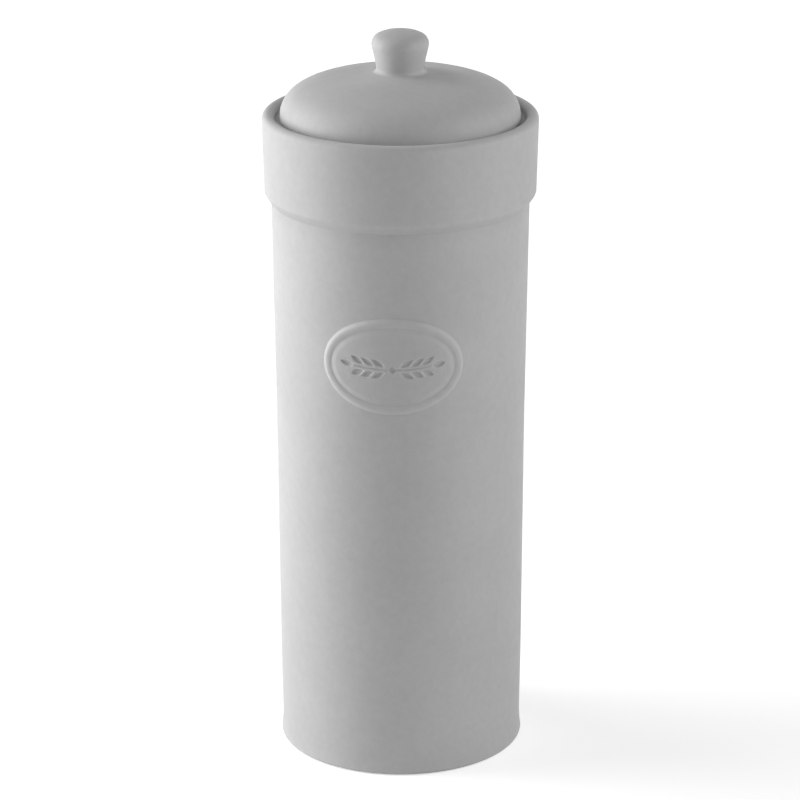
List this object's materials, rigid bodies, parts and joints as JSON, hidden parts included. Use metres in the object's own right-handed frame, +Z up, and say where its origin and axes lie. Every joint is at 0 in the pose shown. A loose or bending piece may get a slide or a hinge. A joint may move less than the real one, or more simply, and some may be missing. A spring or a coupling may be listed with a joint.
{
  "type": "food canister",
  "caption": "Tall round ceramic canister with a slight taper, a thick collar, a raised oval on the front, and a domed lid with a knob that lifts out of the collar.",
  "frame": {"origin": "centre of the foot ring, on the surface that the canister stands on", "axes": "+Z up along the canister's axis, -Y towards the front with the oval, +X to the right seen from the front"},
  "size_m": [0.115, 0.115, 0.3113],
  "materials": {
    "ceramic": "soft matt glaze",
    "silicone": "matt"
  },
  "bodies": {
    "jar": {"jar": "ceramic"},
    "seal": {"seal": "silicone"},
    "lid": {"lid": "ceramic"}
  },
  "joints": [
    {"name": "lid_lift", "type": "slide", "parent": "jar", "child": "seal", "axis": [0, 0, 1], "range_m": [0, 0.12]},
    {"name": "lid_turn", "type": "hinge", "parent": "seal", "child": "lid", "pos_m": [0, 0, 0.262], "axis": [0, 0, 1], "continuous": true}
  ]
}
